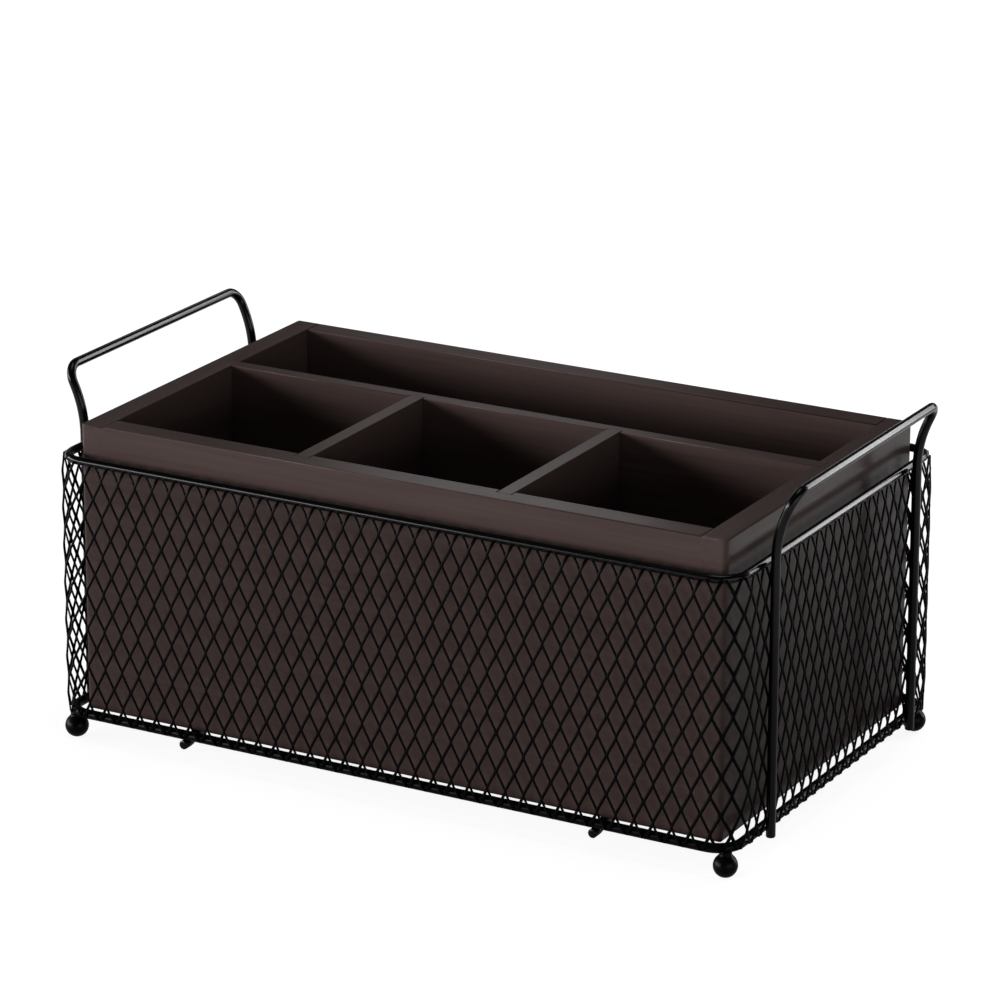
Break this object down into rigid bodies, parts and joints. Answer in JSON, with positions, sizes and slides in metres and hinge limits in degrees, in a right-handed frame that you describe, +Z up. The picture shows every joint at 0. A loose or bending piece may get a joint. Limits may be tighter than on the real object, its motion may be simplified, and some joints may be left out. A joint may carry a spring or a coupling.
{
  "type": "utensil caddy",
  "caption": "Dark wooden utensil box with open compartments, standing loose in a black wire and expanded-metal basket with carrying handles and ball feet.",
  "frame": {"origin": "middle of the surface that the four ball feet stand on", "axes": "+X along the long side, from the left handle to the right one; +Y to the back, where the long compartment is; +Z up"},
  "size_m": [0.3892, 0.2196, 0.1785],
  "materials": {
    "black_steel": "black powder coat, satin",
    "dark_wood": "dark brown stain under satin lacquer"
  },
  "bodies": {
    "basket": {"top_rim_wire": "black_steel", "bottom_rim_wire": "black_steel", "mesh_front": "black_steel", "mesh_back": "black_steel", "mesh_left": "black_steel", "mesh_right": "black_steel", "mesh_corner_front_left": "black_steel", "mesh_corner_front_right": "black_steel", "mesh_corner_back_left": "black_steel", "mesh_corner_back_right": "black_steel", "handle_left": "black_steel", "handle_right": "black_steel", "floor_rod_left": "black_steel", "floor_rod_right": "black_steel", "ball_feet": "black_steel"},
    "insert_box": {"box_left": "dark_wood", "box_right": "dark_wood", "box_front": "dark_wood", "box_back": "dark_wood", "box_floor": "dark_wood", "long_divider": "dark_wood", "left_divider": "dark_wood", "right_divider": "dark_wood"}
  },
  "joints": [
    {"name": "insert_lift", "type": "slide", "parent": "basket", "child": "insert_box", "axis": [0, 0, 1], "range_m": [0, 0.165]}
  ]
}
